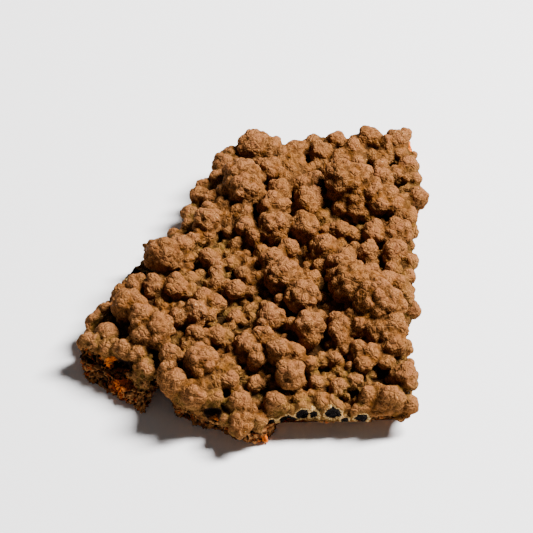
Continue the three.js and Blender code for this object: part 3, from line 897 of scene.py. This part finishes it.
def skin_color(tree, place, specks, edge):
    """The grown skin: its base, a net of painted shade lines and painted highlight rims, specks, glints, and
    painted shade in creases and gaps.
    """
    net_places = mask(tree, mottled(tree, place, 3 * MM), 0.3, 0.55)
    # painted highlight: paler rims along the edges of the nodules
    rim_highlight = times(tree, mask(tree, edge, 0.22, 0.1), net_places)
    with_rim_highlight = blended(tree, times(tree, rim_highlight, 0.4), skin_base(tree, place), tint(160, 108, 60))
    # painted shade: thin dark lines between the nodules
    line = times(tree, mask(tree, edge, 0.07, 0.02), net_places)
    with_line_shade = blended(tree, times(tree, line, 0.65), with_rim_highlight, tint(44, 24, 8))
    speckled = blended(tree, mask(tree, specks, 0.46, 0.3), with_line_shade, tint(52, 28, 9))
    glint_places = mask(tree, mottled(tree, place, 10 * MM, 1.0), 0.5, 0.66)
    glints = times(tree, mask(tree, specks, 0.64, 0.74), glint_places)
    glinting = blended(tree, glints, speckled, tint(206, 168, 118))
    # painted shade in the creases
    with_crease_shade = blended(tree, times(tree, painted(tree, "crease_shade"), 0.55), glinting, tint(52, 29, 9))
    # painted shade, nearly black, in the gaps
    return blended(tree, times(tree, painted(tree, "gap_shade"), 0.85), with_crease_shade, tint(34, 19, 6))


# %% [markdown]
# An open core has a cream rim, then black with fine fibres, and a fan of tan fibres outside the rim. Where
# each begins is read from the depth in the zone, which noise makes wavy. A crumbly zone shows the rusty rock,
# with painted shade darkening its pits, and a pocket is painted dark as shade wherever it isn't rusty.

# %% Crust material
def cored(tree, place, skin):
    """The skin's colour, with the open cores and their fans over it."""
    streak = mottled(tree, painted_direction(tree, "ray"), 0.12, 3.0)
    wavy = times(tree, figured(tree, "SUBTRACT", mottled(tree, place, 1.2 * MM, 3.0), 0.5), 1.6)
    core_depth = figured(tree, "ADD", painted(tree, "core_depth"), wavy)
    black = blended(tree, mask(tree, streak, 0.5, 0.7), tint(10, 8, 8), tint(58, 50, 46))
    cream = blended(tree, mask(tree, streak, 0.35, 0.65), tint(124, 80, 36), tint(206, 172, 112))
    core = blended(tree, mask(tree, core_depth, 0.45, 0.6), cream, black)
    fan = times(tree, mask(tree, core_depth, -1.2, 0.0), mask(tree, streak, 0.45, 0.6))
    fanned = blended(tree, times(tree, fan, 0.55), skin, tint(128, 88, 44))
    return blended(tree, mask(tree, core_depth, -0.05, 0.1), fanned, core)


def broken(tree, place, crust_color):
    """The crust's colour, with the crumbly zones, painted shade in their pits, and painted shade in the
    pockets over it.
    """
    crumb_colors = crumbs(tree, place, painted(tree, "rust"))
    # painted shade: near black in the pits between crumbs
    pit_shade = mask(tree, painted(tree, "crumbly"), 0.75, 0.45)
    pitted_crumbs = blended(tree, pit_shade, crumb_colors, tint(16, 10, 8))
    zoned = blended(tree, painted(tree, "crumb_zone"), crust_color, pitted_crumbs)
    # painted shade: a pocket is dark wherever it isn't rusty
    pocket_shade = blended(tree, painted(tree, "rust"), tint(24, 14, 9), crumb_colors)
    return blended(tree, painted(tree, "pocket"), zoned, pocket_shade)


def crust_material():
    """Mottramite: a matt brown skin over a black inside."""
    material = bpy.data.materials.new("mottramite")
    material.use_nodes = True
    tree = material.node_tree
    shader = tree.nodes["Principled BSDF"]
    place = add(tree, "ShaderNodeTexCoord").outputs["Object"]
    grain = grained(tree, place, 0.42 * MM)
    edge = edge_distance(tree, place, NODULE_SIZE)

    skin = skin_color(tree, place, grain.outputs["Specks"], edge)
    tree.links.new(broken(tree, place, cored(tree, place, skin)), shader.inputs["Base Color"])
    shader.inputs["Roughness"].default_value = 0.85
    shader.inputs["Specular IOR Level"].default_value = 0.03
    nodules = times(tree, mask(tree, edge, 0.0, 0.25), 1.5)
    relief = figured(tree, "ADD", grain.outputs["Height"], nodules)
    bump = add(tree, "ShaderNodeBump", {"Height": relief, "Strength": 0.65, "Distance": 0.2 * MM})
    tree.links.new(bump.outputs[0], shader.inputs["Normal"])
    return material


crust.data.materials.clear()
crust.data.materials.append(crust_material())
for face in crust.data.polygons:
    face.use_smooth = True
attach(crust, "root")
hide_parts("mottramite_crust")

# %% [markdown]
# The rock under the crust is crumbly and granular, and most of it is hidden. It is made in the same way: an
# even skin, whose sides are then pitted between the crumbs. Its outline is drawn in here and there by long
# waves. The direction for that is the sideways part of the normals, spread to the neighbours, so that the
# rim of the underside moves with the side.

# %% Matrix sides
MATRIX_VOXEL = 0.42 * MM
MATRIX_PITS = 1.2 * MM
OUTLINE_WAVE = 7.0 * MM
OUTLINE_DEPTH = 2.4 * MM
UNDER_LIP = 1.8 * MM  # how far the rock lies back under the front edge of the crust
SPREADING = 14  # rounds in which the sideways direction spreads

matrix = merged_copy("rusty_matrix", "crumbly_matrix")
modified(matrix, "REMESH", mode="VOXEL", voxel_size=MATRIX_VOXEL)
modified(matrix, "SMOOTH", factor=0.5, iterations=2)
settle(matrix)


def outline_moves(piece, points, sideways):
    """How far and which way each point moves as the rock's outline is drawn in."""
    ends, count = edge_ends(piece)
    outwards = normals(piece) * (sideways[:, None] * (1.6, 1.6, 0.0))
    for _ in range(SPREADING):
        outwards = neighbour_means(outwards, ends, count)
    near_side = np.flatnonzero(np.linalg.norm(outwards, axis=1) > 0.04)
    drawn_in = np.zeros(len(points))
    drawn_in[near_side] = OUTLINE_DEPTH * np.maximum(0, ripple(points[near_side], OUTLINE_WAVE, 4))
    under_lip = step(-points[:, 1], 38 * MM, 42 * MM) * step(points[:, 0], 3 * MM, 7 * MM)
    return -outwards * (drawn_in + UNDER_LIP * under_lip)[:, None]


matrix_places = places(matrix)
matrix_facing = normals(matrix)
sideways = step(np.hypot(matrix_facing[:, 0], matrix_facing[:, 1]), 0.2, 0.7)
sides = np.flatnonzero(sideways > 0)
flatter = matrix_places[sides] * (1, 1, 1.5)
matrix_pitted = np.zeros(len(matrix_places))
matrix_pitted[sides] = 0.6 * pits(flatter, 2.6 * MM, 7) + 0.4 * pits(flatter, 1.1 * MM, 8)
bulge = np.zeros(len(matrix_places))
long_bulge = ripple(matrix_places[sides], 4.0 * MM, 2) * 0.6 + 0.3
bulge[sides] = (long_bulge + 0.5 * ripple(flatter, 1.3 * MM, 9)) * MM
print(len(sides), "points on the sides of the rock")

# %% [markdown]
# The top is raised a little into the crust, because the two are grown together. Nothing may go below the
# resting plane, so points there are lifted.

# %% Matrix form
TOP_RAISED = 0.6 * MM
IN_SEAM = 0.3 * MM  # how far the rock reaches above the crust's lower face
MATRIX_TRIANGLES = 90000
MATRIX_RUST = {
    "under the pocket": ((-34.2, -31.8, 3.4), 3.0),
    "left edge": ((-38.5, -4.0, 3.0), 4.0),
    "left side": ((-45.0, -17.0, 3.0), 2.0),
    "front left": ((2.0, -47.0, 1.5), 2.0),
    "right side": ((41.5, -4.0, 3.0), 2.5),
    "back right corner": ((44.0, 46.0, 3.0), 9.0),
}

matrix_places += outline_moves(matrix, matrix_places, sideways)
matrix_places += matrix_facing * (sideways * (bulge - matrix_pitted * MATRIX_PITS))[:, None]
matrix_places[:, 2] += TOP_RAISED * step(matrix_places[:, 2], 1.5 * MM, 3.2 * MM)
matrix_places[:, 2] = np.clip(matrix_places[:, 2], 0, seam_height + IN_SEAM)
put(matrix, matrix_places)
# the pits, which the material also darkens as painted shade
paint(matrix, "pits", matrix_pitted)
modified(matrix, "DECIMATE", ratio=min(1.0, MATRIX_TRIANGLES / (2 * len(matrix.data.polygons))))
settle(matrix)
paint(matrix, "rust", rust_share(places(matrix), MATRIX_RUST.values()))

# %% [markdown]
# The rock's material is the crumb group, with painted shade in its pits. It takes its grain from the same
# group as the crust.

# %% Matrix material
def matrix_material():
    """Rusty rock: granular, tan to brown, with bright orange where it is fresh."""
    material = bpy.data.materials.new("rusty matrix")
    material.use_nodes = True
    tree = material.node_tree
    shader = tree.nodes["Principled BSDF"]
    place = add(tree, "ShaderNodeTexCoord").outputs["Object"]
    rock = crumbs(tree, place, painted(tree, "rust"))
    # painted shade: near black in the pits
    color = blended(tree, mask(tree, painted(tree, "pits"), 0.4, 0.85), rock, tint(18, 11, 8))
    tree.links.new(color, shader.inputs["Base Color"])
    shader.inputs["Roughness"].default_value = 0.88
    shader.inputs["Specular IOR Level"].default_value = 0.08
    height = grained(tree, place, 0.5 * MM).outputs["Height"]
    bump = add(tree, "ShaderNodeBump", {"Height": height, "Strength": 0.8, "Distance": 0.2 * MM})
    tree.links.new(bump.outputs[0], shader.inputs["Normal"])
    return material


matrix.data.materials.clear()
matrix.data.materials.append(matrix_material())
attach(matrix, "root")
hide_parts("rusty_matrix")
